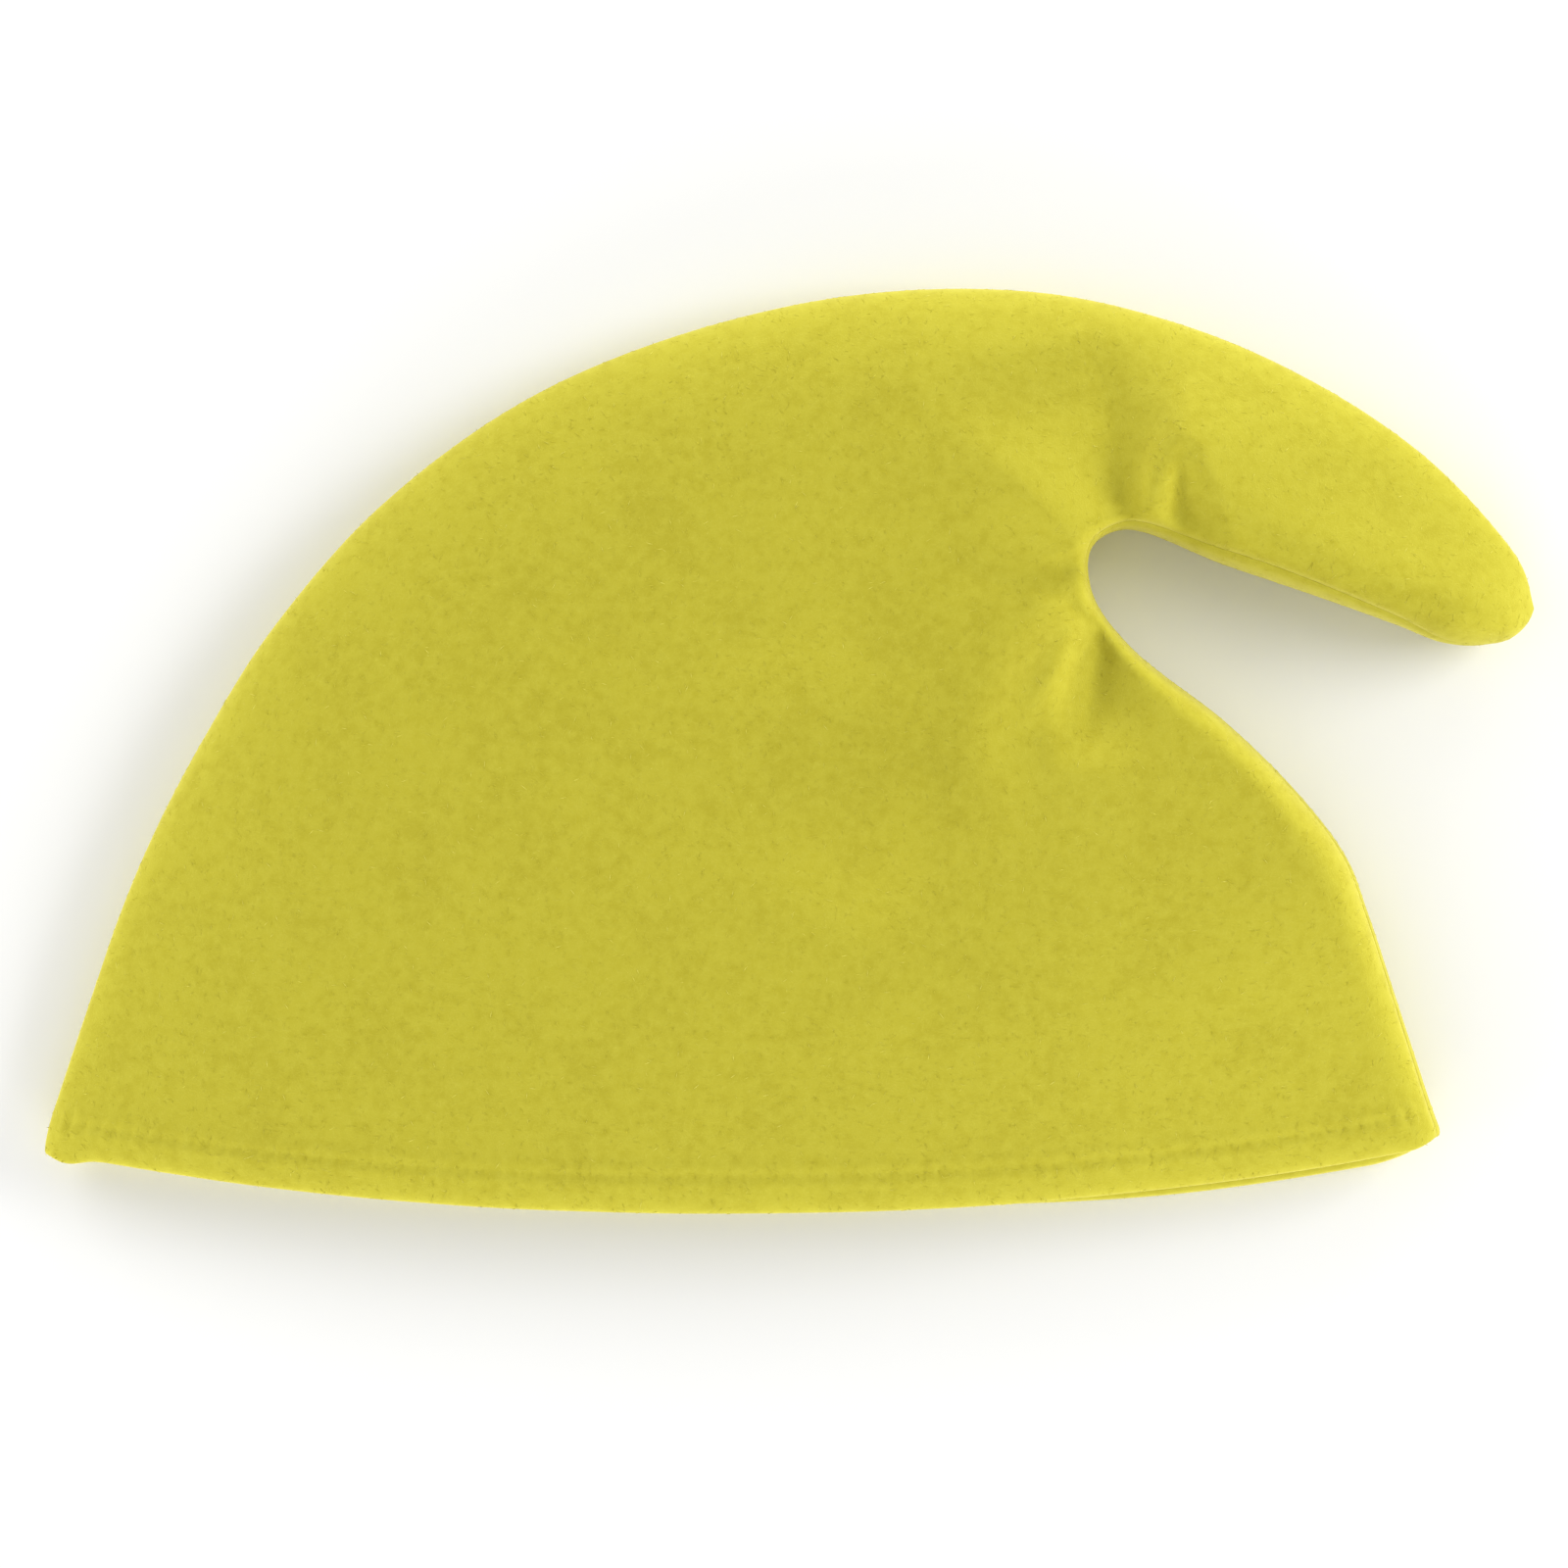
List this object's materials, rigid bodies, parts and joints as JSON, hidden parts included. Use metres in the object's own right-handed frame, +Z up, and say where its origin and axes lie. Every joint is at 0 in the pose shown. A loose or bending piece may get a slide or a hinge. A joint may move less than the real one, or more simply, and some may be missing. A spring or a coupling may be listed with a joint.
{
  "type": "felt gnome hat",
  "caption": "Plain yellow felt gnome hat with a tip that curls forward over a notch, sewn from mirrored panels with a hemmed rim, lying flat on its side.",
  "frame": {"origin": "on the floor, under the middle of the hat's box as it lies", "axes": "+X from the back of the head to the curled tip, +Y from the rim to the crown, +Z up from the floor"},
  "size_m": [0.3096, 0.1914, 0.029],
  "materials": {
    "felt": "matte yellow felt"
  },
  "bodies": {
    "root": {"upper_panel": "felt", "lower_panel": "felt"}
  },
  "joints": []
}
